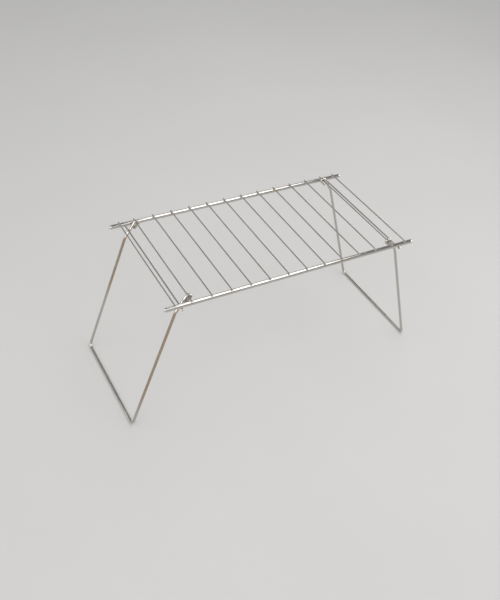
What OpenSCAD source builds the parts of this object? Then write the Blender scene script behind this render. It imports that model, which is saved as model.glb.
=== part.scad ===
// Folding camp grill: a wire grate on two rails, standing on two U-shaped wire legs.
// X runs along the rails, Y across them, Z is up; the origin is on the ground under the grate's centre.

/* [Rails] */
// Overall length of each rail, over its domed ends
rail_length = 402; // [300:1:600]
// Distance between the axes of the front and rear rails
rail_spacing = 196.5; // [140:0.5:300]
// Outside diameter of the rail tube
rail_d = 6.35; // [5:0.05:10]
// Wall thickness of the rail tube
rail_wall = 0.7; // [0.5:0.1:1.2]
// Length of an end plug's shank inside the tube
plug_shank = 8; // [4:0.5:20]

/* [Grate wires] */
// Number of evenly spaced grate wires, the two hinge wires included
wire_count = 12; // [8:1:16]
// Diameter of the grate wires
wire_d = 2; // [1.6:0.1:3]
// Length of a wire's end beyond the rail's axis
wire_overhang = 2.6; // [2:0.1:6]
// Distance from a rail's tip in to the hinge wire, the outermost of the evenly spaced wires
hinge_wire_inset = 38.75; // [34:0.25:60]
// Distance from a rail's tip in to the end wire
end_wire_inset = 14.9; // [8:0.1:18]

/* [Stop rods] */
// Diameter of the stop rod under each end of the grate
stop_rod_d = 2.4; // [2:0.1:3]
// Distance from a hinge wire out to its stop rod
stop_rod_reach = 13.7; // [12:0.1:18]
// Length of a stop rod's end beyond the rail's axis, to the button's centre
stop_rod_overhang = 3.5; // [2:0.1:6]
// Diameter of the button at each end of a stop rod
stop_button_d = 3.6; // [3.2:0.1:4.2]

/* [Legs] */
// Diameter of the leg wire
leg_d = 4; // [3:0.1:4.5]
// Height of the grate wires' axes above the ground
stand_height = 217; // [160:1:300]
// Distance between the two foot bars
foot_spread = 488.4; // [440:0.2:560]
// Distance between the axes of one leg's two arms
arm_spacing = 179; // [100:0.5:181]
// Radius of the foot corners, on the wire's axis
corner_r = 7; // [5:0.5:20]

/* [Hooks] */
// Length of the sloping limb from a hinge eye to the leg's upper bend
limb_length = 28.5; // [24:0.5:36]
// Radius of the leg's upper bend, on the wire's axis
limb_bend_r = 15; // [8:1:40]
// Length of the eye's closing tail
tail_length = 9.5; // [8:0.5:14]

/* [Welds] */
// Radius of the weld bead at each crossing
bead_r = 1.6; // [1.3:0.1:1.9]

/* [Fits] */
// Radial clearance between an end plug's shank and the tube
plug_clearance = 0.02; // [0.01:0.01:0.1]
// Radial clearance between a hinge wire and the eye around it
eye_clearance = 0.3; // [0.3:0.05:0.6]
// Gap between a leg that stands open and its stop rod
stop_gap = 0.3; // [0.3:0.05:0.6]
// Gap that the end of an eye's tail leaves to the limb
tail_gap = 0.4; // [0.3:0.05:0.6]

/* [Hidden] */
$fn = 48;

wire_r = wire_d / 2;
rail_r = rail_d / 2;
leg_r = leg_d / 2;
rod_r = stop_rod_d / 2;

rail_tip_x = rail_length / 2;
tube_half = rail_tip_x - rail_r;
bore_r = rail_r - rail_wall;
rail_y = rail_spacing / 2;
rail_z = stand_height - wire_r - rail_r;

hinge_x = rail_tip_x - hinge_wire_inset;
end_wire_x = rail_tip_x - end_wire_inset;
wire_pitch = 2 * hinge_x / (wire_count - 1);
wire_half = rail_y + wire_overhang;

stop_rod_x = hinge_x + stop_rod_reach;
stop_rod_half = rail_y + stop_rod_overhang;
stop_rod_drop = wire_r + rail_d + rod_r;
stop_rod_z = stand_height - stop_rod_drop;

// The limb passes above the hinge wire and below the stop rod, so both fix its slope
eye_r = wire_r + eye_clearance + leg_r;
stop_r = rod_r + stop_gap + leg_r;
limb_slope = atan2(stop_rod_drop, stop_rod_reach)
    + asin((eye_r + stop_r) / norm([stop_rod_reach, stop_rod_drop]));
limb_end = [hinge_x, stand_height]
    + eye_r * [sin(limb_slope), cos(limb_slope)]
    + limb_length * [cos(limb_slope), -sin(limb_slope)];

// The arm runs straight from the limb's lower end to the foot bar
foot_x = foot_spread / 2;
arm_run = [foot_x, leg_r] - limb_end;
arm_length = norm(arm_run);
arm_slope = atan2(-arm_run[1], arm_run[0]);
arm_y = arm_spacing / 2;
upper_bend = arm_slope - limb_slope;
upper_bend_setback = limb_bend_r * tan(upper_bend / 2);

// The tail turns back far enough to leave only its gap beside the limb
tail_turn = atan2(eye_r, tail_length)
    + asin((eye_r - leg_d - tail_gap) / norm([eye_r, tail_length]));
eye_wrap = 180 + tail_turn;

// Bends from the foot bar's end to the tail's tip: roll of the bending plane, radius, turn, straight after
ARM_BENDS = [
    [0, corner_r, 90, arm_length - corner_r - upper_bend_setback],
    [-90, limb_bend_r, upper_bend, limb_length - upper_bend_setback],
    [0, eye_r, eye_wrap, tail_length],
];

// How much thicker the joining balls are than the wire, and how far short of their centres it ends
knuckle_swell = 0.01;
knuckle_trim = 0.05;

SIDES = ["left", "right"];
GRATE_WIRES = [for (i = [1 : wire_count - 2]) str("grate_wire_", i)];

function side_sign(side) = side == "left" ? -1 : 1;
function wire_x(index) = -hinge_x + index * wire_pitch;

// Straight round bar of a given length along +X from the origin
module bar(length, diameter) {
    rotate([0, 90, 0]) cylinder(h = length, d = diameter);
}

// Round bar across the grate, centred on the XZ plane
module cross_bar(half_length, diameter) {
    rotate([90, 0, 0]) cylinder(h = 2 * half_length, d = diameter, center = true);
}

// Rail tube along X, open at both ends for its plugs
module rail_tube(y) {
    color("gainsboro")
        translate([-tube_half, y, rail_z])
            difference() {
                bar(2 * tube_half, rail_d);
                bar(2 * tube_half, 2 * bore_r);
            }
}

// Domed plug that closes one end of a rail
module end_plug(y, side) {
    sign = side_sign(side);
    color("silver")
        translate([sign * tube_half, y, rail_z])
            rotate([0, 0, sign > 0 ? 0 : 180]) {
                intersection() {
                    sphere(d = rail_d);
                    bar(rail_d, rail_d);
                }
                translate([-plug_shank, 0, 0])
                    bar(plug_shank, 2 * (bore_r - plug_clearance));
            }
}

// Grate wire lying across the tops of both rails
module grate_wire(x) {
    color("lightgray")
        translate([x, 0, stand_height]) cross_bar(wire_half, wire_d);
}

// Rod under both rails that a standing leg leans against, with a button at each end
module stop_rod(side) {
    color("darkgray")
        translate([side_sign(side) * stop_rod_x, 0, stop_rod_z]) {
            cross_bar(stop_rod_half, stop_rod_d);
            for (y = [-stop_rod_half, stop_rod_half])
                translate([0, y, 0]) sphere(d = stop_button_d);
        }
}

// Ball that joins two lengths of the leg wire, a hair thicker so that the ends of both lie inside it.
// Its poles point along the wire.
module knuckle() {
    rotate([0, 90, 0]) sphere(r = leg_r + knuckle_swell);
}

// Curved length of leg wire that starts along +X at the origin and turns towards +Y
module curved_wire(radius, turn) {
    trim = knuckle_trim / radius * 180 / PI;
    translate([0, radius, 0])
        rotate([0, 0, trim - 90])
            rotate_extrude(angle = turn - 2 * trim)
                translate([radius, 0]) circle(d = leg_d);
}

// Leg wire run on from +X at the origin through a list of bends, each bend followed by a straight
module bent_run(bends, index = 0) {
    bend = bends[index];
    straight = bend[3];
    is_last = index == len(bends) - 1;
    rotate([bend[0], 0, 0]) {
        knuckle();
        curved_wire(bend[1], bend[2]);
        translate([0, bend[1], 0]) rotate([0, 0, bend[2]]) translate([0, -bend[1], 0]) {
            knuckle();
            translate([knuckle_trim, 0, 0])
                bar(straight - (is_last ? 1 : 2) * knuckle_trim, leg_d);
            if (!is_last)
                translate([straight, 0, 0]) bent_run(bends, index + 1);
        }
    }
}

// One leg, bent from a single wire: a foot bar, two arms, and a hook and eye at the top of each arm
module leg(side) {
    half_bar = arm_y - corner_r;
    color("silver")
        rotate([0, 0, side_sign(side) > 0 ? 0 : 180])
            translate([foot_x, 0, leg_r]) {
                cross_bar(half_bar - knuckle_trim, leg_d);
                for (end = [0, 1])
                    mirror([0, end, 0])
                        translate([0, half_bar, 0])
                            rotate([0, arm_slope, 0]) rotate([0, 0, 90]) bent_run(ARM_BENDS);
            }
}

// Weld beads of one rail: one where each wire crosses over it and one where each stop rod crosses under
module rail_welds(y) {
    over = concat([for (i = [0 : wire_count - 1]) wire_x(i)], [-end_wire_x, end_wire_x]);
    color("darkgray") {
        for (x = over)
            translate([x, y, rail_z + rail_r])
                bead(wire_r);
        for (x = [-stop_rod_x, stop_rod_x])
            translate([x, y, rail_z - rail_r])
                rotate([180, 0, 0]) bead(rod_r);
    }
}

// Bead at the point where a bar crosses over the rail, with the rail and the bar cut out of it
module bead(bar_r) {
    difference() {
        sphere(r = bead_r);
        translate([0, 0, bar_r]) cross_bar(2 * bead_r, 2 * bar_r);
        translate([-2 * bead_r, 0, -rail_r]) bar(4 * bead_r, rail_d);
    }
}

rail_tube(-rail_y);  // front_rail_tube
rail_tube(rail_y);  // rear_rail_tube
for (side = SIDES) {
    end_plug(-rail_y, side);
    end_plug(rail_y, side);
    grate_wire(side_sign(side) * hinge_x);
    grate_wire(side_sign(side) * end_wire_x);
    stop_rod(side);
    leg(side);
}
for (i = [1 : wire_count - 2])
    grate_wire(wire_x(i));
rail_welds(-rail_y);  // front_rail_welds
rail_welds(rail_y);  // rear_rail_welds
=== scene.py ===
"""Looks of a folding camp grill: a chromed wire grate on two rails, with a bent wire leg hinged at each end.

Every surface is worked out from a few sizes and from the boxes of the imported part, in metres, in the part's
own frame: X along the rails, Y across them, Z up from the ground.
"""

from __future__ import annotations

import logging
import math
from dataclasses import dataclass, field
from enum import Enum

import bpy
import numpy as np
from mathutils import Matrix, Vector


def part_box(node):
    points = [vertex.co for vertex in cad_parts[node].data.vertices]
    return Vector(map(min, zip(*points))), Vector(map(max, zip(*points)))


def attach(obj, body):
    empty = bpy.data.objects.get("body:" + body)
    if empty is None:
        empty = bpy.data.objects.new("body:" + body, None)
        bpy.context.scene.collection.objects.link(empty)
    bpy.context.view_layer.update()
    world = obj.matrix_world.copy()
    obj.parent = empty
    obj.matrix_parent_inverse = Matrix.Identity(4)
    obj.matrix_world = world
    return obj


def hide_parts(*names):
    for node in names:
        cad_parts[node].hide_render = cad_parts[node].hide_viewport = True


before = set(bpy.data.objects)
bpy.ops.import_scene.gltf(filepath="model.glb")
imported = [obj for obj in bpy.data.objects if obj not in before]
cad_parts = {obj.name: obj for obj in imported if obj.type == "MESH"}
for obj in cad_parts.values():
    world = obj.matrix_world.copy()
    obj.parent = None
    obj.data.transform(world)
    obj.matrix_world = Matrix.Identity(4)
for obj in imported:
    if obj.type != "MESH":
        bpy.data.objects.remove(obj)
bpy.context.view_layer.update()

LOG = logging.getLogger("folding_grill")

MM = 0.001
UNBENT = "unbent"
# Share of the tint: heat tint near the welds, and a painted warm reflection on the left leg.
HEAT_AND_REFLECTION = "heat_and_reflection_share"


class Side(Enum):
    """An end of the grate, with the sign of its X."""

    LEFT = -1
    RIGHT = 1

    @property
    def word(self) -> str:
        """The side's name as the part's nodes spell it."""
        return self.name.lower()


class Rail(Enum):
    """One of the two rails, with the sign of its Y."""

    FRONT = -1
    REAR = 1

    @property
    def word(self) -> str:
        """The rail's name as the part's nodes spell it."""
        return self.name.lower()


class Slot(Enum):
    """The record's material slots."""

    RAIL = "rail_chrome"
    PLUG = "plug_chrome"
    WIRE = "wire_chrome"
    LEG = "leg_chrome"
    WELD = "weld_metal"


class Node(Enum):
    """Short names for the shader nodes that the finishes use."""

    ATTRIBUTE = "ShaderNodeAttribute"
    BACKGROUND = "ShaderNodeBackground"
    BUMP = "ShaderNodeBump"
    COORDS = "ShaderNodeTexCoord"
    GROUP = "ShaderNodeGroup"
    GROUP_IN = "NodeGroupInput"
    GROUP_OUT = "NodeGroupOutput"
    LIGHT_PATH = "ShaderNodeLightPath"
    MAPPING = "ShaderNodeMapping"
    MATH = "ShaderNodeMath"
    MIX = "ShaderNodeMix"
    MIX_SHADER = "ShaderNodeMixShader"
    NOISE = "ShaderNodeTexNoise"
    OUTPUT = "ShaderNodeOutputMaterial"
    PRINCIPLED = "ShaderNodeBsdfPrincipled"
    RAMP = "ShaderNodeMapRange"
    SEPARATE = "ShaderNodeSeparateXYZ"
    VORONOI = "ShaderNodeTexVoronoi"
    WORLD_OUTPUT = "ShaderNodeOutputWorld"


@dataclass
class Surface:
    """A mesh being built, as arrays.

    Attributes:
        points: Vertex places, one row each.
        faces: Corner numbers of each face, turning so that the face points outwards.
        values: Named values, one row per vertex, that the finishes read.
    """

    points: np.ndarray
    faces: list[list[int]]
    values: dict[str, np.ndarray] = field(default_factory=dict)

    def joined(self, other: Surface) -> Surface:
        """Put a second surface beside this one.

        Args:
            other: The surface to add.

        Returns:
            One surface that holds both.
        """
        offset = len(self.points)
        moved = [[corner + offset for corner in face] for face in other.faces]
        values = {name: np.concatenate([rows, other.values[name]]) for name, rows in self.values.items()}
        return Surface(np.concatenate([self.points, other.points]), self.faces + moved, values)

    def shifted(self, offset: np.ndarray) -> Surface:
        """The same surface, moved.

        Args:
            offset: How far along X, Y and Z.

        Returns:
            The moved surface.
        """
        return Surface(self.points + offset, self.faces, dict(self.values))

    def placed(self, name: str) -> bpy.types.Object:
        """Make the surface an object of the scene, smooth but for its sharp edges.

        Args:
            name: The piece's name.

        Returns:
            The new object, at the origin.
        """
        mesh = bpy.data.meshes.new(name)
        mesh.from_pydata(self.points.tolist(), [], self.faces)
        for value_name, rows in self.values.items():
            kind = "FLOAT" if rows.ndim == 1 else "FLOAT_VECTOR"
            key = "value" if rows.ndim == 1 else "vector"
            layer = mesh.attributes.new(value_name, kind, "POINT")
            layer.data.foreach_set(key, rows.astype(np.float32).ravel())
        mesh.shade_smooth()
        mesh.set_sharp_from_angle(angle=math.radians(38))
        piece = bpy.data.objects.new(name, mesh)
        bpy.context.scene.collection.objects.link(piece)
        return piece


def closed_tube(rings: np.ndarray, values: dict[str, np.ndarray]) -> Surface:
    """Skin a stack of rings and close both ends.

    Neighbouring rings are joined by quads, and each end ring by a fan to its own middle point.

    Args:
        rings: Places of shape (ring, corner, 3), each ring turning about the way on to the next.
        values: Named values of shape (ring, corner) or (ring, corner, 3).

    Returns:
        The closed surface.
    """
    count, corners = rings.shape[:2]
    index = np.arange(count * corners).reshape(count, corners)
    ahead = np.roll(index, -1, axis=1)
    quads = np.stack([index[:-1], ahead[:-1], ahead[1:], index[1:]], axis=-1).reshape(-1, 4)
    first, last = count * corners, count * corners + 1
    start_fan = np.stack([ahead[0], index[0], np.full(corners, first)], axis=-1)
    end_fan = np.stack([index[-1], ahead[-1], np.full(corners, last)], axis=-1)
    points = np.concatenate([rings.reshape(-1, 3), rings[:1].mean(axis=1), rings[-1:].mean(axis=1)])
    packed = {}
    for name, rows in values.items():
        flat = rows.reshape((count * corners,) + rows.shape[2:])
        packed[name] = np.concatenate([flat, rows[:1].mean(axis=1), rows[-1:].mean(axis=1)])
    return Surface(points, quads.tolist() + start_fan.tolist() + end_fan.tolist(), packed)


def turned_profile(along: np.ndarray, radius: np.ndarray, corners: int, is_loop: bool = False) -> Surface:
    """Turn an outline about the X axis, as on a lathe.

    The point at corner angle a of outline point (x, r) is (x, r cos a, r sin a). The outline runs towards +X
    on the outside, so the faces point outwards.

    Args:
        along: X of each outline point.
        radius: Distance of each outline point from the axis.
        corners: Number of corners round the axis.
        is_loop: True if the outline closes on itself, as for a tube's wall.

    Returns:
        The turned surface, with its own unbent places as values.
    """
    angle = np.linspace(0, 2 * math.pi, corners, endpoint=False)
    x = np.repeat(along[:, None], corners, axis=1)
    rings = np.stack([x, radius[:, None] * np.cos(angle), radius[:, None] * np.sin(angle)], axis=-1)
    if not is_loop:
        return closed_tube(rings, {UNBENT: rings})
    index = np.arange(len(along) * corners).reshape(len(along), corners)
    ahead = np.roll(index, -1, axis=1)
    quads = np.stack([index, ahead, np.roll(ahead, -1, axis=0), np.roll(index, -1, axis=0)], axis=-1)
    points = rings.reshape(-1, 3)
    return Surface(points, quads.reshape(-1, 4).tolist(), {UNBENT: points})


def rounded_end(radius: float, edge: float, steps: int = 5) -> tuple[np.ndarray, np.ndarray]:
    """Outline of a bar's end whose rim is rounded by a quarter circle.

    Args:
        radius: The bar's radius.
        edge: Radius of the rounded rim.
        steps: Points along the quarter circle.

    Returns:
        Distances back from the end face, and radii, from the bar's side to its face.
    """
    turn = np.linspace(0, math.pi / 2, steps)
    back = edge * (1 - np.sin(turn))
    out = radius - edge * (1 - np.cos(turn))
    return np.append(back, 0.0), np.append(out, 0.35 * radius)


def across(surface: Surface) -> Surface:
    """Turn a surface made along X to lie along Y, by the quarter turn that takes X to Y and Y to minus X."""
    points = surface.points[:, [1, 0, 2]] * np.array([-1.0, 1.0, 1.0])
    return Surface(points, surface.faces, dict(surface.values))


def smooth_step(value: np.ndarray, low: float, high: float) -> np.ndarray:
    """Rise from 0 at the low value to 1 at the high one, as three squares less two cubes of the share."""
    share = np.clip((value - low) / (high - low), 0.0, 1.0)
    return share**2 * (3 - 2 * share)


def weld_heat(points: np.ndarray, welds: np.ndarray, reach: float) -> np.ndarray:
    """How strongly welding heated each point, as 1 at a weld and falling smoothly to 0 past the reach.

    Args:
        points: Places of shape (point, 3).
        welds: Places of the welds, one row each.
        reach: Distance at which a weld's heat no longer shows.

    Returns:
        One value per point.
    """
    nearest = np.full(len(points), np.inf)
    for weld in welds:
        nearest = np.minimum(nearest, np.linalg.norm(points - weld, axis=1))
    return np.exp(-((nearest / reach) ** 2))


@dataclass
class BentWire:
    """A length of round wire that is run out in straights and bends, as a bending jig makes it.

    Attributes:
        radius: The wire's radius.
        place: Where the run has got to.
        heading: Unit vector on along the wire.
        inward: Unit vector towards the inside of the next bend.
    """

    radius: float
    place: np.ndarray
    heading: np.ndarray
    inward: np.ndarray
    corners: int = 32
    centres: list[np.ndarray] = field(default_factory=list)
    frames: list[np.ndarray] = field(default_factory=list)
    lengths: list[np.ndarray] = field(default_factory=list)
    squeezes: list[np.ndarray] = field(default_factory=list)
    basis: np.ndarray = field(init=False)
    run: float = 0.0

    def __post_init__(self) -> None:
        """Take the first ring's two radii from the starting vectors."""
        self.basis = np.stack([self.inward, np.cross(self.heading, self.inward)])

    def roll(self, degrees: float) -> None:
        """Turn the bending plane about the wire, without turning the wire itself."""
        angle = math.radians(degrees)
        side = np.cross(self.heading, self.inward)
        self.inward = math.cos(angle) * self.inward + math.sin(angle) * side

    def straight(self, length: float, steps: int = 12) -> None:
        """Run straight on. The centre line is the place plus a share of the length along the heading.

        Args:
            length: How far.
            steps: Rings along it.
        """
        share = np.linspace(0, 1, steps)
        self.centres.append(self.place + share[:, None] * length * self.heading)
        self.frames.append(np.repeat(self.basis[None], steps, axis=0))
        self.lengths.append(self.run + share * length)
        self.squeezes.append(np.zeros((steps, 3)))
        self.place = self.place + length * self.heading
        self.run += length

    def bend(self, radius: float, degrees: float, squeeze: float = 0.0) -> None:
        """Bend round an arc towards the inward side.

        The centre line turns about the bend's centre, and the ring's two radii turn with it by the same
        angle. The wire thins a little in the plane of the bend, most at its middle.

        Args:
            radius: Radius of the centre line.
            degrees: How far it turns.
            squeeze: Share by which the wire thins at the bend's middle.
        """
        steps = max(4, int(degrees / 3.5))
        angle = np.linspace(0, math.radians(degrees), steps)
        cos, sin = np.cos(angle)[:, None], np.sin(angle)[:, None]
        middle = self.place + radius * self.inward
        axis = np.cross(self.heading, self.inward)
        inward = cos * self.inward - sin * self.heading
        heading = cos * self.heading + sin * self.inward
        along_in = self.basis @ self.inward
        along_axis = self.basis @ axis
        self.frames.append(along_in[None, :, None] * inward[:, None] + along_axis[None, :, None] * axis)
        self.centres.append(middle - radius * inward)
        self.lengths.append(self.run + radius * angle)
        self.squeezes.append(squeeze * np.sin(math.pi * angle / angle[-1])[:, None] ** 2 * inward)
        self.basis = self.frames[-1][-1]
        self.place = self.centres[-1][-1]
        self.run += radius * angle[-1]
        self.heading, self.inward = heading[-1], inward[-1]

    def cut_end(self, edge: float) -> None:
        """End the wire in a cut face with a rounded rim.

        Args:
            edge: Radius of the rounded rim.
        """
        back, out = rounded_end(self.radius, edge)
        tips = self.place - back[:, None] * self.heading
        self.centres[-1] = self.centres[-1][:-1]
        self.frames[-1] = self.frames[-1][:-1]
        self.lengths[-1] = self.lengths[-1][:-1]
        self.squeezes[-1] = self.squeezes[-1][:-1]
        self.centres.append(tips)
        self.frames.append(np.repeat(self.basis[None], len(back), axis=0) * (out / self.radius)[:, None, None])
        self.lengths.append(self.run - back)
        self.squeezes.append(np.zeros((len(back), 3)))

    def rings(self) -> tuple[np.ndarray, np.ndarray]:
        """The wire's skin as rings.

        Returns:
            Places of shape (ring, corner, 3), and the same points on the wire before it was bent.
        """
        centres = np.concatenate(self.centres)
        frames = np.concatenate(self.frames)
        lengths = np.concatenate(self.lengths)
        thinner = np.concatenate(self.squeezes)
        moved_on = np.diff(lengths) > 1e-7
        turned = np.abs(np.diff(frames, axis=0)).sum(axis=(1, 2)) > 1e-6
        keep = np.append(True, moved_on | turned)
        centres, frames, lengths, thinner = centres[keep], frames[keep], lengths[keep], thinner[keep]
        angle = np.linspace(0, 2 * math.pi, self.corners, endpoint=False)
        spokes = np.cos(angle)[:, None] * frames[:, None, 0] + np.sin(angle)[:, None] * frames[:, None, 1]
        depth = np.linalg.norm(thinner, axis=1)
        unit = thinner / np.maximum(depth, 1e-12)[:, None]
        towards = np.einsum("rcv,rv->rc", spokes, unit)
        spokes = spokes - (depth[:, None] * towards)[..., None] * unit[:, None]
        points = centres[:, None] + self.radius * spokes
        flat = np.stack([np.cos(angle), np.sin(angle)], axis=-1) * self.radius
        unbent = np.empty_like(points)
        unbent[..., 0] = lengths[:, None]
        unbent[..., 1:] = flat
        return points, unbent


def socket(node: bpy.types.Node, name: str, is_output: bool = False) -> bpy.types.NodeSocket:
    """Find a node's enabled socket by name.

    Args:
        node: The node.
        name: The socket's name.
        is_output: True for an output.

    Returns:
        The first enabled socket of that name.
    """
    group = node.outputs if is_output else node.inputs
    return next(s for s in group if s.name == name and s.enabled)


@dataclass
class NodeTree:
    """A node tree being built, with short ways to add, set and join nodes."""

    tree: bpy.types.NodeTree

    def add(self, kind: Node, options: dict[str, object] | None = None, **values: object) -> bpy.types.Node:
        """Add a node.

        Args:
            kind: Which node.
            options: The node's own settings.
            **values: Values for its inputs, with spaces in their names written as underscores.

        Returns:
            The new node.
        """
        node = self.tree.nodes.new(kind.value)
        for name, value in (options or {}).items():
            setattr(node, name, value)
        for name, value in values.items():
            target = socket(node, name.replace("_", " "))
            if isinstance(value, bpy.types.NodeSocket):
                self.tree.links.new(value, target)
            else:
                target.default_value = value
        return node

    def math(self, operation: str, first: object, second: object = 0.0) -> bpy.types.NodeSocket:
        """Work out a value from one or two others.

        Args:
            operation: The math node's operation.
            first: First value or socket.
            second: Second value or socket.

        Returns:
            The result's socket.
        """
        node = self.tree.nodes.new(Node.MATH.value)
        node.operation = operation
        for target, value in zip(node.inputs, (first, second)):
            if isinstance(value, bpy.types.NodeSocket):
                self.tree.links.new(value, target)
            else:
                target.default_value = value
        return node.outputs[0]

    def mixed(self, factor: object, first: object, second: object) -> bpy.types.NodeSocket:
        """Mix two colours.

        Args:
            factor: Share of the second colour.
            first: First colour or socket.
            second: Second colour or socket.

        Returns:
            The mixed colour's socket.
        """
        node = self.add(Node.MIX, {"data_type": "RGBA"}, Factor=factor, A=first, B=second)
        return socket(node, "Result", True)

    def ranged(
        self, value: bpy.types.NodeSocket, low: float, high: float, top: float = 1.0
    ) -> bpy.types.NodeSocket:
        """Map a value smoothly from a range to 0 up to a top, and hold it inside.

        Args:
            value: The value's socket.
            low: Where the range starts.
            high: Where it ends.
            top: Result at the range's end.

        Returns:
            The result's socket.
        """
        node = self.add(Node.RAMP, {"interpolation_type": "SMOOTHSTEP"}, Value=value)
        for name, number in (("From Min", low), ("From Max", high), ("To Min", 0.0), ("To Max", top)):
            socket(node, name).default_value = number
        return socket(node, "Result", True)


class PlatingGroup:
    """Shader group for bright plating on drawn wire: draw lines, haze, pits, heat tint and painted warm
    reflection.
    """

    NAME = "plating"
    INPUTS = (
        ("Bright", "NodeSocketColor"),
        ("Warm", "NodeSocketColor"),
        ("Tint", "NodeSocketColor"),
        ("Stain", "NodeSocketFloat"),
        ("Gloss", "NodeSocketFloat"),
        ("Haze", "NodeSocketFloat"),
    )
    OUTPUTS = (
        ("Color", "NodeSocketColor"),
        ("Roughness", "NodeSocketFloat"),
        ("Height", "NodeSocketFloat"),
    )

    def __init__(self) -> None:
        """Build the group once."""
        self.tree = bpy.data.node_groups.new(self.NAME, "ShaderNodeTree")
        for name, kind in self.INPUTS:
            self.tree.interface.new_socket(name, in_out="INPUT", socket_type=kind)
        for name, kind in self.OUTPUTS:
            self.tree.interface.new_socket(name, in_out="OUTPUT", socket_type=kind)
        self._wire_up()

    def _wire_up(self) -> None:
        """Join the group's nodes.

        Noise on the wire's unbent places gives the lines along it, blotches of haze and pits. The haze and the
        heat share mix the colours and raise the roughness. The heat share is heat tint near the welds and, on
        the left leg, a painted warm reflection. The slow noise and the blotches cloud the tint.
        """
        nodes = NodeTree(self.tree)
        given = nodes.add(Node.GROUP_IN)
        place = socket(nodes.add(Node.ATTRIBUTE, {"attribute_name": UNBENT}), "Vector", True)
        # Heat share: heat tint near the welds, and on the left leg a painted warm reflection.
        heat = socket(nodes.add(Node.ATTRIBUTE, {"attribute_name": HEAT_AND_REFLECTION}), "Fac", True)
        stretched = nodes.add(Node.MAPPING, Vector=place, Scale=(0.03, 1.0, 1.0)).outputs[0]
        lines = nodes.add(Node.NOISE, Vector=stretched, Scale=4200.0, Detail=3.0, Roughness=0.6).outputs["Fac"]
        blotch = nodes.add(Node.NOISE, Vector=place, Scale=130.0, Detail=4.0, Roughness=0.62).outputs["Fac"]
        slow = nodes.add(Node.NOISE, Vector=place, Scale=22.0, Detail=2.0, Roughness=0.5).outputs["Fac"]
        pits = nodes.add(Node.VORONOI, Vector=place, Scale=900.0).outputs["Distance"]

        haze = nodes.ranged(blotch, 0.46, 0.72)
        warm = nodes.ranged(slow, 0.42, 0.66, 0.8)
        base = nodes.mixed(warm, given.outputs["Bright"], given.outputs["Warm"])
        cloudy = nodes.math("ADD", nodes.math("MULTIPLY", nodes.math("ADD", slow, blotch), 0.75), 0.2)
        # The tint mixed in here is heat tint at the welds and painted warm reflection on the left leg.
        broken = nodes.math("MULTIPLY", heat, cloudy)
        stain = nodes.math("MULTIPLY", nodes.math("MINIMUM", broken, 1.0), given.outputs["Stain"])
        tinted = nodes.mixed(stain, base, given.outputs["Tint"])

        hazy = nodes.math("MULTIPLY", haze, given.outputs["Haze"])
        lined = nodes.math("MULTIPLY", nodes.math("SUBTRACT", lines, 0.5), 0.08)
        rough = nodes.math("ADD", nodes.math("ADD", given.outputs["Gloss"], hazy), lined)
        rough = nodes.math("MAXIMUM", nodes.math("ADD", rough, nodes.math("MULTIPLY", heat, 0.05)), 0.03)

        pit_fill = nodes.ranged(pits, 0.02, 0.12)
        height = nodes.math("ADD", nodes.math("MULTIPLY", lines, 0.5), nodes.math("MULTIPLY", pit_fill, 0.35))

        out = nodes.add(Node.GROUP_OUT)
        self.tree.links.new(tinted, out.inputs["Color"])
        self.tree.links.new(rough, out.inputs["Roughness"])
        self.tree.links.new(height, out.inputs["Height"])


@dataclass(frozen=True)
class PlatedFinish:
    """Bright plating over steel.

    Attributes:
        slot: The record's slot that the finish belongs to.
        bright: Colour of clean plating.
        warm: Colour where the plating is thin and the nickel shows.
        tint: Colour of the heat tint near welds; on the leg, colour of the painted warm reflection.
        stain: Share of the tint where the heat share is full.
        gloss: Roughness of clean plating.
        haze: Roughness that haze adds.
        relief: Height of the fine relief.
    """

    slot: Slot
    bright: tuple[float, float, float, float]
    warm: tuple[float, float, float, float]
    tint: tuple[float, float, float, float]
    stain: float
    gloss: float
    haze: float
    relief: float

    def material(self, plating: PlatingGroup) -> bpy.types.Material:
        """Make the finish's material.

        Args:
            plating: The shared group.

        Returns:
            The material.
        """
        made = bpy.data.materials.new(self.slot.value)
        made.use_nodes = True
        made.node_tree.nodes.clear()
        nodes = NodeTree(made.node_tree)
        group = nodes.add(Node.GROUP, {"node_tree": plating.tree}, Bright=self.bright, Warm=self.warm,
                          Tint=self.tint, Stain=self.stain, Gloss=self.gloss, Haze=self.haze)
        bump = nodes.add(Node.BUMP, Strength=0.35, Distance=self.relief, Height=group.outputs["Height"])
        shader = nodes.add(Node.PRINCIPLED, Metallic=1.0, Base_Color=group.outputs["Color"],
                           Roughness=group.outputs["Roughness"], Normal=bump.outputs[0])
        nodes.add(Node.OUTPUT, Surface=shader.outputs[0])
        made.diffuse_color = self.bright
        return made


@dataclass(frozen=True)
class FloorFinish:
    """Plain pale matte floor, with a faint mottle so that it doesn't look drawn."""

    pale: tuple[float, float, float, float] = (0.62, 0.615, 0.605, 1.0)
    paler: tuple[float, float, float, float] = (0.66, 0.655, 0.645, 1.0)

    def material(self) -> bpy.types.Material:
        """Make the floor's material."""
        made = bpy.data.materials.new("pale_floor")
        made.use_nodes = True
        made.node_tree.nodes.clear()
        nodes = NodeTree(made.node_tree)
        place = nodes.add(Node.COORDS).outputs["Object"]
        mottle = nodes.add(Node.NOISE, Vector=place, Scale=3.0, Detail=4.0).outputs["Fac"]
        colour = nodes.mixed(mottle, self.pale, self.paler)
        shader = nodes.add(Node.PRINCIPLED, Base_Color=colour, Roughness=0.85)
        nodes.add(Node.OUTPUT, Surface=shader.outputs[0])
        return made


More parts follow.
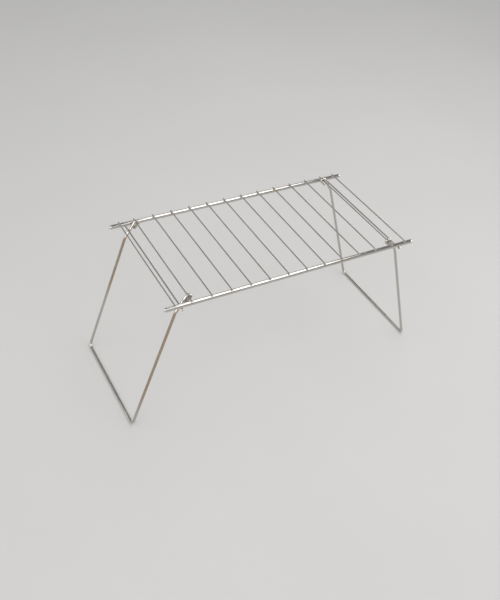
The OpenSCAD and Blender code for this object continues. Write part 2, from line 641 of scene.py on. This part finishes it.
@dataclass
class Workshop:
    """The shared group and the materials of every slot."""

    plating: PlatingGroup = field(default_factory=PlatingGroup)
    made: dict[Slot, bpy.types.Material] = field(default_factory=dict)

    BRIGHT = (0.60, 0.592, 0.578, 1.0)
    SATIN = (0.53, 0.515, 0.495, 1.0)
    WARM = (0.56, 0.525, 0.475, 1.0)
    STRAW = (0.50, 0.44, 0.365, 1.0)
    # Bronze of the painted warm reflection on the left leg's arms.
    BRONZE_REFLECTION = (0.41, 0.31, 0.215, 1.0)

    def __post_init__(self) -> None:
        """Make every slot's material."""
        bright = (self.BRIGHT, self.WARM, self.STRAW)
        satin = (self.SATIN, self.WARM, self.BRONZE_REFLECTION)
        finishes = (
            PlatedFinish(Slot.RAIL, *bright, stain=0.35, gloss=0.09, haze=0.08, relief=0.004 * MM),
            PlatedFinish(Slot.PLUG, *bright, stain=0.35, gloss=0.08, haze=0.06, relief=0.004 * MM),
            PlatedFinish(Slot.WIRE, *bright, stain=0.35, gloss=0.12, haze=0.10, relief=0.004 * MM),
            # The leg's tint share paints a warm reflection on the left leg's arms.
            PlatedFinish(Slot.LEG, *satin, stain=0.90, gloss=0.15, haze=0.12, relief=0.006 * MM),
            PlatedFinish(Slot.WELD, *bright, stain=0.25, gloss=0.15, haze=0.10, relief=0.012 * MM),
        )
        for finish in finishes:
            self.made[finish.slot] = finish.material(self.plating)

    def fit(self, surface: Surface, nodes: tuple[str, ...], slot: Slot, body: str) -> bpy.types.Object:
        """Put a finished surface in the scene in place of the part's own nodes.

        Args:
            surface: The piece's surface, in place.
            nodes: The nodes that it stands for.
            slot: The record's slot that it takes its finish from.
            body: The body that it moves with.

        Returns:
            The piece.
        """
        piece = surface.placed(f"{nodes[0]}_chromed")
        piece.data.materials.append(self.made[slot])
        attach(piece, body)
        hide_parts(*nodes)
        triangles = sum(len(face) - 2 for face in surface.faces)
        LOG.info("%s stands for %s, %d triangles", piece.name, ", ".join(nodes), triangles)
        return piece


@dataclass
class RoundBar:
    """A straight round node, as its box gives it."""

    centre: np.ndarray
    radius: float
    half: float

    @classmethod
    def of(cls, node: str, axis: int) -> RoundBar:
        """Measure a node that lies along one axis.

        Args:
            node: The node's name.
            axis: 0 if it lies along X, 1 along Y.

        Returns:
            The measured bar.
        """
        low, high = (np.array(corner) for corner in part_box(node))
        return cls((low + high) / 2, (high[2] - low[2]) / 2, (high[axis] - low[axis]) / 2)


@dataclass
class Grate:
    """The rails, their plugs, the wires, the stop rods and the welds that hold them."""

    shop: Workshop
    wall: float = 0.7 * MM
    rim: float = 0.25 * MM
    shank: float = 8.0 * MM
    shank_gap: float = 0.02 * MM
    seam: float = 0.12 * MM
    stop_rod_r: float = 1.2 * MM
    wire_edge: float = 0.22 * MM
    bow: float = 0.22 * MM
    heat_reach: float = 2.6 * MM
    bead_reach: float = 1.75 * MM
    seed: int = 12
    body: str = "grate"

    def __post_init__(self) -> None:
        """Measure the rails, wires and rods, and start the draw of their small unevenness."""
        self.random = np.random.default_rng(self.seed)
        self.rails = {rail: RoundBar.of(f"{rail.word}_rail_tube", 0) for rail in Rail}
        names = [f"grate_wire_{number}" for number in range(1, 11)]
        names += [f"{side.word}_{kind}" for side in Side for kind in ("hinge_wire", "end_wire")]
        self.wires = {name: RoundBar.of(name, 1) for name in names}
        self.rods = {side: RoundBar.of(f"{side.word}_stop_rod", 1) for side in Side}

    def weld_places(self) -> np.ndarray:
        """Points where wires and rods touch the rails, one row each."""
        places = []
        for rail in self.rails.values():
            for wire in self.wires.values():
                places.append([wire.centre[0], rail.centre[1], rail.centre[2] + rail.radius])
            for rod in self.rods.values():
                places.append([rod.centre[0], rail.centre[1], rail.centre[2] - rail.radius])
        return np.array(places)

    def heated(self, surface: Surface) -> Surface:
        """Add how strongly the welds heated each point."""
        surface.values[HEAT_AND_REFLECTION] = weld_heat(surface.points, self.weld_places(), self.heat_reach)
        return surface

    def build(self) -> None:
        """Make every piece of the grate."""
        for rail, bar in self.rails.items():
            self.build_tube(rail, bar)
            for side in Side:
                self.build_plug(rail, side, bar)
            self.build_welds(rail, bar)
        for name, bar in self.wires.items():
            self.build_wire(name, bar)
        for side, bar in self.rods.items():
            self.build_rod(side, bar)

    def build_tube(self, rail: Rail, bar: RoundBar) -> None:
        """Make a rail's tube: an outline of its wall, rounded at the rims and turned about X.

        Args:
            rail: Which rail.
            bar: Its measures.
        """
        bore = bar.radius - self.wall
        turn = np.linspace(0, math.pi / 2, 6)
        rim_x = bar.half - self.rim * (1 - np.sin(turn))
        rim_r = bar.radius - self.rim * (1 - np.cos(turn))
        outer_x = np.linspace(-bar.half + 2 * self.rim, bar.half - 2 * self.rim, 120)
        along = np.concatenate([-rim_x[::-1], outer_x, rim_x, [bar.half, -bar.half]])
        radius = np.concatenate([rim_r[::-1], np.full(len(outer_x), bar.radius), rim_r, [bore, bore]])
        tube = turned_profile(along, radius, 64, is_loop=True)
        self.shop.fit(self.heated(tube.shifted(bar.centre)), (f"{rail.word}_rail_tube",), Slot.RAIL, self.body)

    def build_plug(self, rail: Rail, side: Side, bar: RoundBar) -> None:
        """Make a rail's domed plug: a shank, a fine seam at the tube's end and a half ball, turned about X.

        Args:
            rail: Which rail.
            side: Which end.
            bar: The rail's measures.
        """
        shank_r = bar.radius - self.wall - self.shank_gap
        turn = np.linspace(0.06, math.pi / 2 - 0.06, 22)
        dome_x = bar.radius * np.sin(turn)
        dome_r = bar.radius * np.cos(turn)
        dome_r[0] -= self.seam
        along = np.concatenate([[-self.shank, -self.shank, 0.0, 0.0], dome_x])
        radius = np.concatenate([[0.3 * shank_r, shank_r, shank_r, bar.radius - 2 * self.seam], dome_r])
        plug = turned_profile(along, radius, 48)
        if side is Side.LEFT:
            plug.points = plug.points * np.array([-1.0, -1.0, 1.0])
        end = bar.centre + np.array([side.value * bar.half, 0.0, 0.0])
        node = f"{rail.word}_rail_{side.word}_plug"
        self.shop.fit(self.heated(plug.shifted(end)), (node,), Slot.PLUG, self.body)

    def build_wire(self, name: str, bar: RoundBar) -> None:
        """Make a grate wire: a drawn bar with rounded rims that bows a little sideways between the rails.

        The bow is its depth times the cosine of the way across, which is nothing at the rails.

        Args:
            name: The wire's node.
            bar: Its measures.
        """
        back, out = rounded_end(bar.radius, self.wire_edge)
        middle = np.linspace(-bar.half + 2 * self.wire_edge, bar.half - 2 * self.wire_edge, 60)
        along = np.concatenate([(back - bar.half)[::-1], middle, bar.half - back])
        radius = np.concatenate([out[::-1], np.full(len(middle), bar.radius), out])
        wire = across(turned_profile(along, radius, 24))
        rail_y = self.rails[Rail.REAR].centre[1]
        depth = self.random.uniform(-self.bow, self.bow)
        share = np.cos(math.pi / 2 * np.clip(wire.points[:, 1] / rail_y, -1, 1))
        wire.points[:, 0] += depth * share
        wire.values[UNBENT] = wire.values[UNBENT] + np.array([bar.centre[0], 0.0, 0.0])
        self.shop.fit(self.heated(wire.shifted(bar.centre)), (name,), Slot.WIRE, self.body)

    def build_rod(self, side: Side, bar: RoundBar) -> None:
        """Make a stop rod with a button at each end.

        The button's outline is a circle about the point one button radius in from the end, down to where it
        meets the rod.

        Args:
            side: Which end of the grate.
            bar: The rod's measures, whose radius is the button's.
        """
        button = bar.radius
        start = math.asin(self.stop_rod_r / button)
        turn = np.linspace(start, math.pi - 0.08, 22)
        button_x = bar.half - button - button * np.cos(turn)
        button_r = button * np.sin(turn)
        middle = np.linspace(-bar.half + 2.2 * button, bar.half - 2.2 * button, 60)
        along = np.concatenate([-button_x[::-1], middle, button_x])
        radius = np.concatenate([button_r[::-1], np.full(len(middle), self.stop_rod_r), button_r])
        rod = across(turned_profile(along, radius, 28))
        self.shop.fit(self.heated(rod.shifted(bar.centre)), (f"{side.word}_stop_rod",), Slot.WIRE, self.body)

    def bead(self, rail_r: float, bar_r: float) -> Surface:
        """Make one weld bead about the point where a bar lies on a rail, with the bar above.

        Round the point, at each angle, a curve runs from the rail's surface to the bar's. It is a quadratic
        curve whose middle control point lies closer in, so that the bead is hollow like a fillet. Above and
        below it closes inside the bar and inside the rail.

        Args:
            rail_r: The rail's radius.
            bar_r: The bar's radius.

        Returns:
            The bead's surface, about the origin.
        """
        corners, steps = 28, 9
        angle = np.linspace(0, 2 * math.pi, corners, endpoint=False)
        phase = self.random.uniform(0, 2 * math.pi, 3)
        uneven = 1 + 0.07 * np.sin(2 * angle + phase[0]) + 0.05 * np.sin(3 * angle + phase[1])
        uneven = uneven + 0.03 * np.sin(5 * angle + phase[2])
        reach = self.bead_reach * uneven
        along_bar = np.abs(np.sin(angle))
        rail_x, rail_y = reach * np.cos(angle), reach * np.sin(angle)
        rail_z = np.sqrt(np.maximum(rail_r**2 - rail_y**2, 0)) - rail_r
        bar_reach = np.minimum(0.86 * bar_r / np.maximum(np.abs(np.cos(angle)), 1e-6), 0.8 * reach)
        bar_x, bar_y = bar_reach * np.cos(angle), bar_reach * np.sin(angle)
        bar_z = bar_r - np.sqrt(np.maximum(bar_r**2 - bar_x**2, 0))
        foot = np.stack([rail_x, rail_y, rail_z], axis=-1)
        head = np.stack([bar_x, bar_y, bar_z], axis=-1)
        pull = (0.62 + 0.1 * along_bar)[:, None]
        hollow = np.stack([pull[:, 0] * rail_x, pull[:, 0] * rail_y, (rail_z + bar_z) / 2 * 0.6], axis=-1)
        share = np.linspace(0, 1, steps)[:, None, None]
        fillet = (1 - share) ** 2 * foot + 2 * share * (1 - share) * hollow + share**2 * head
        below = foot * np.array([0.7, 0.7, 1.0]) - np.array([0, 0, 0.25 * rail_r])
        above = head * np.array([0.5, 0.5, 1.0]) + np.array([0, 0, 0.35 * bar_r])
        rings = np.concatenate([below[None], fillet, above[None]])
        return closed_tube(rings, {UNBENT: rings, HEAT_AND_REFLECTION: np.ones(rings.shape[:2])})

    def build_welds(self, rail: Rail, bar: RoundBar) -> None:
        """Make a rail's weld beads as one piece.

        Args:
            rail: Which rail.
            bar: Its measures.
        """
        beads = []
        for wire in self.wires.values():
            place = np.array([wire.centre[0], bar.centre[1], bar.centre[2] + bar.radius])
            beads.append(self.bead(bar.radius, wire.radius).shifted(place))
        for rod in self.rods.values():
            place = np.array([rod.centre[0], bar.centre[1], bar.centre[2] - bar.radius])
            upside_down = self.bead(bar.radius, self.stop_rod_r)
            upside_down.points = upside_down.points * np.array([1.0, -1.0, -1.0])
            beads.append(upside_down.shifted(place))
        whole = beads[0]
        for bead in beads[1:]:
            whole = whole.joined(bead)
        whole.values[UNBENT] = whole.points
        self.shop.fit(whole, (f"{rail.word}_rail_welds",), Slot.WELD, self.body)


@dataclass
class Leg:
    """A leg bent from one wire: a foot bar, two arms, and a hook and eye at the top of each arm.

    Its path is worked out in the plane across the rails from the hinge, the stop rod and the ground, as
    the eye wraps the hinge wire and the limb passes under the stop rod.
    """

    shop: Workshop
    side: Side
    wire_r: float = 2.0 * MM
    eye_gap: float = 0.3 * MM
    stop_gap: float = 0.3 * MM
    tail_gap: float = 0.4 * MM
    limb: float = 28.5 * MM
    limb_bend_r: float = 15.0 * MM
    tail: float = 9.5 * MM
    corner_r: float = 7.0 * MM
    arm_spacing: float = 179.0 * MM
    stop_rod_r: float = 1.2 * MM
    cut_edge: float = 0.4 * MM
    # Heights over which the painted warm reflection rises on the left leg's front and rear arms, and where it
    # fades over the hooks.
    front_reflection_rise: tuple[float, float] = (5 * MM, 68 * MM)
    rear_reflection_rise: tuple[float, float] = (80 * MM, 130 * MM)
    hook_foot: float = 196 * MM

    def half_wire(self) -> BentWire:
        """Run the wire from the middle of the foot bar to the tip of the rear hook's tail.

        Returns:
            The wire, in the part's frame, as for the right leg.
        """
        hinge = RoundBar.of("right_hinge_wire", 1)
        rod = RoundBar.of("right_stop_rod", 1)
        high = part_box("right_leg")[1]
        reach = rod.centre[0] - hinge.centre[0]
        drop = hinge.centre[2] - rod.centre[2]
        eye_r = hinge.radius + self.eye_gap + self.wire_r
        stop_r = self.stop_rod_r + self.stop_gap + self.wire_r
        slope = math.atan2(drop, reach) + math.asin((eye_r + stop_r) / math.hypot(reach, drop))
        limb_end = np.array([
            hinge.centre[0] + eye_r * math.sin(slope) + self.limb * math.cos(slope),
            hinge.centre[2] + eye_r * math.cos(slope) - self.limb * math.sin(slope),
        ])
        foot = np.array([high[0] - self.wire_r, self.wire_r])
        arm = float(np.linalg.norm(foot - limb_end))
        arm_slope = math.atan2(limb_end[1] - foot[1], foot[0] - limb_end[0])
        bend = arm_slope - slope
        setback = self.limb_bend_r * math.tan(bend / 2)
        tail_turn = math.atan2(eye_r, self.tail) + math.asin(
            (eye_r - 2 * self.wire_r - self.tail_gap) / math.hypot(eye_r, self.tail)
        )
        up_arm = np.array([-math.cos(arm_slope), 0.0, math.sin(arm_slope)])
        wire = BentWire(self.wire_r, np.array([foot[0], 0.0, foot[1]]), np.array([0.0, 1.0, 0.0]), up_arm)
        wire.straight(self.arm_spacing / 2 - self.corner_r, steps=40)
        wire.bend(self.corner_r, 90.0, squeeze=0.05)
        wire.straight(arm - self.corner_r - setback, steps=90)
        wire.roll(-90.0)
        wire.bend(self.limb_bend_r, math.degrees(bend), squeeze=0.01)
        wire.straight(self.limb - setback, steps=20)
        wire.bend(eye_r, 180.0 + math.degrees(tail_turn), squeeze=0.06)
        wire.straight(self.tail, steps=10)
        wire.cut_end(self.cut_edge)
        return wire

    def painted_warm_reflection(self, points: np.ndarray) -> np.ndarray:
        """Share of painted warm reflection, given as a bronze tint, on each point of the left leg.

        It rises smoothly with height, from lower down on the front arm than on the rear one, and
        falls again over the hooks. The right leg has none.

        Args:
            points: Places of shape (point, 3).

        Returns:
            One value per point, from 0 to 1.
        """
        if self.side is Side.RIGHT:
            return np.zeros(len(points))
        height = points[:, 2]
        front = smooth_step(height, *self.front_reflection_rise)
        rear = smooth_step(height, *self.rear_reflection_rise)
        spread = self.arm_spacing / 4
        share = smooth_step(points[:, 1], -spread, spread)
        above = smooth_step(height, self.hook_foot, self.hook_foot + 4 * self.wire_r)
        return ((1 - share) * front + share * rear) * (1 - 0.85 * above)

    def build(self) -> None:
        """Skin the half wire, mirror it across the grate and turn it to its side."""
        rings, unbent = self.half_wire().rings()
        mirrored = rings[:0:-1] * np.array([1.0, -1.0, 1.0])
        whole = np.concatenate([mirrored, rings])
        straightened = np.concatenate([unbent[:0:-1] * np.array([-1.0, 1.0, 1.0]), unbent])
        leg = closed_tube(whole, {UNBENT: straightened})
        if self.side is Side.LEFT:
            leg.points = leg.points * np.array([-1.0, -1.0, 1.0])
        # Painted warm reflection on the left leg, kept in the same share as the weld heat tint.
        leg.values[HEAT_AND_REFLECTION] = self.painted_warm_reflection(leg.points)
        self.shop.fit(leg, (f"{self.side.word}_leg",), Slot.LEG, f"{self.side.word}_leg_frame")


@dataclass(frozen=True)
class SoftBox:
    """A rectangular soft box.

    Attributes:
        name: The lamp's name.
        place: Where its middle hangs.
        aim: The point that it faces.
        size: Its width along X and its other side.
        glow: How bright its face looks, where 1 is white.
        colour: Its colour.
        is_card: True for a card that only shows in the metal and doesn't light the floor.
    """

    name: str
    place: tuple[float, float, float]
    aim: tuple[float, float, float]
    size: tuple[float, float]
    glow: float
    colour: tuple[float, float, float]
    is_card: bool = False

    def hang(self) -> None:
        """Hang the lamp. Its power is its glow times pi times its area."""
        light = bpy.data.lights.new(self.name, "AREA")
        light.shape = "RECTANGLE"
        light.size, light.size_y = self.size
        light.energy = self.glow * math.pi * self.size[0] * self.size[1]
        light.color = self.colour
        lamp = bpy.data.objects.new(self.name, light)
        lamp.location = self.place
        lamp.rotation_mode = "QUATERNION"
        lamp.rotation_quaternion = (Vector(self.aim) - Vector(self.place)).to_track_quat("-Z", "Y")
        lamp.visible_camera = False
        lamp.visible_diffuse = not self.is_card
        bpy.context.scene.collection.objects.link(lamp)


SOFT_BOXES = (
    SoftBox("overhead", (0.640, -0.290, 1.60), (0.640, -0.291, 0.0), (0.66, 2.52), 2.4, (1.0, 0.985, 0.965)),
    SoftBox("left_panel", (-1.30, 0.20, 1.30), (0.0, 0.0, 0.217), (1.40, 1.00), 1.0, (1.0, 0.99, 0.975)),
    SoftBox("front_panel", (-0.95, -0.95, 1.50), (0.0, 0.0, 0.217), (0.90, 0.90), 2.2, (1.0, 0.99, 0.975)),
    SoftBox("left_card", (-1.40, -0.15, 0.50), (0.0, -0.15, 0.499), (2.10, 0.50), 2.4, (1.0, 0.99, 0.975), True),
    SoftBox("right_card", (1.45, -0.40, 0.58), (0.0, 0.0, 0.217), (0.90, 0.90), 5.5, (1.0, 0.99, 0.975), True),
)


@dataclass
class Studio:
    """A plain pale floor, a soft studio's light and the camera at the photograph's angle.

    The camera's numbers were fitted to the grate, the feet and the hinges of the photograph: the focal
    length in pixels of the 500 by 600 frame, the three angles, and where the grate's centre lies from it.
    """

    floor_end: tuple[float, float, float, float] = (0.37, 0.37, 0.368, 1.0)
    wall: tuple[float, float, float, float] = (0.56, 0.555, 0.545, 1.0)
    ceiling: tuple[float, float, float, float] = (0.20, 0.198, 0.195, 1.0)
    room_light: tuple[float, float, float, float] = (0.57, 0.573, 0.58, 1.0)
    focal_px: float = 766.1
    frame_long_px: float = 600.0
    sensor: float = 36.0
    azimuth: float = -32.477
    elevation: float = 40.365
    roll: float = 6.212
    wire_pitch: float = 29.5 * MM
    shift_right: float = 0.659
    shift_up: float = 3.378
    distance: float = 38.104
    floor_size: float = 14.0

    def build(self) -> None:
        """Make the floor, the light and the camera."""
        self.build_floor()
        self.build_world()
        for box in SOFT_BOXES:
            box.hang()
        self.build_camera()

    def build_floor(self) -> None:
        """Lay the floor just under the feet."""
        half = self.floor_size / 2
        corners = [(-half, -half, 0.0), (half, -half, 0.0), (half, half, 0.0), (-half, half, 0.0)]
        mesh = bpy.data.meshes.new("floor")
        mesh.from_pydata(corners, [], [(0, 1, 2, 3)])
        floor = bpy.data.objects.new("floor", mesh)
        floor.data.materials.append(FloorFinish().material())
        bpy.context.scene.collection.objects.link(floor)

    def build_world(self) -> None:
        """Light the room evenly, and show a pale backdrop to the camera, to metal and to glass."""
        world = bpy.data.worlds.new("studio")
        bpy.context.scene.world = world
        world.use_nodes = True
        world.node_tree.nodes.clear()
        nodes = NodeTree(world.node_tree)
        path = nodes.add(Node.LIGHT_PATH)
        seen = nodes.math("MAXIMUM", path.outputs["Is Camera Ray"], path.outputs["Is Glossy Ray"])
        seen = nodes.math("MAXIMUM", seen, path.outputs["Is Transmission Ray"])
        up = socket(nodes.add(Node.SEPARATE, Vector=nodes.add(Node.COORDS).outputs["Generated"]), "Z", True)
        wall = nodes.mixed(nodes.ranged(up, -0.06, 0.16), self.floor_end, self.wall)
        backdrop = nodes.mixed(nodes.ranged(up, 0.10, 0.90), wall, self.ceiling)
        room = nodes.add(Node.BACKGROUND, Color=self.room_light, Strength=1.0)
        shown = nodes.add(Node.BACKGROUND, Color=backdrop, Strength=1.0)
        mix = nodes.tree.nodes.new(Node.MIX_SHADER.value)
        nodes.tree.links.new(seen, mix.inputs[0])
        nodes.tree.links.new(room.outputs[0], mix.inputs[1])
        nodes.tree.links.new(shown.outputs[0], mix.inputs[2])
        out = nodes.add(Node.WORLD_OUTPUT)
        nodes.tree.links.new(mix.outputs[0], out.inputs["Surface"])

    def build_camera(self) -> None:
        """Place the camera from its fitted angles.

        With no roll, right lies in the ground plane and up leans back by the elevation. Both then turn by
        the roll about the view's axis.
        """
        az, el, turn = (math.radians(angle) for angle in (self.azimuth, self.elevation, self.roll))
        back = np.array([math.sin(az) * math.cos(el), -math.cos(az) * math.cos(el), math.sin(el)])
        right = np.array([math.cos(az), math.sin(az), 0.0])
        up = np.cross(back, right)
        rolled_right = math.cos(turn) * right + math.sin(turn) * up
        rolled_up = math.cos(turn) * up - math.sin(turn) * right
        grate_centre = np.array([0.0, 0.0, RoundBar.of("grate_wire_1", 1).centre[2]])
        offset = self.distance * back - self.shift_right * rolled_right - self.shift_up * rolled_up
        place = grate_centre + self.wire_pitch * offset
        data = bpy.data.cameras.new("camera")
        data.sensor_width = self.sensor
        data.lens = self.focal_px * self.sensor / self.frame_long_px
        data.clip_start, data.clip_end = 0.01, 50.0
        camera = bpy.data.objects.new("camera", data)
        axes = np.stack([rolled_right, rolled_up, back], axis=1)
        camera.matrix_world = Matrix.Translation(Vector(place)) @ Matrix(axes.tolist()).to_4x4()
        bpy.context.scene.collection.objects.link(camera)
        bpy.context.scene.camera = camera


def main() -> None:
    """Build the grate, the legs and the studio in order."""
    logging.basicConfig(level=logging.INFO, format="%(name)s: %(message)s")
    bpy.context.scene.view_settings.view_transform = "Standard"
    shop = Workshop()
    Grate(shop).build()
    for side in Side:
        Leg(shop, side).build()
    Studio().build()


if __name__ == "__main__":
    main()
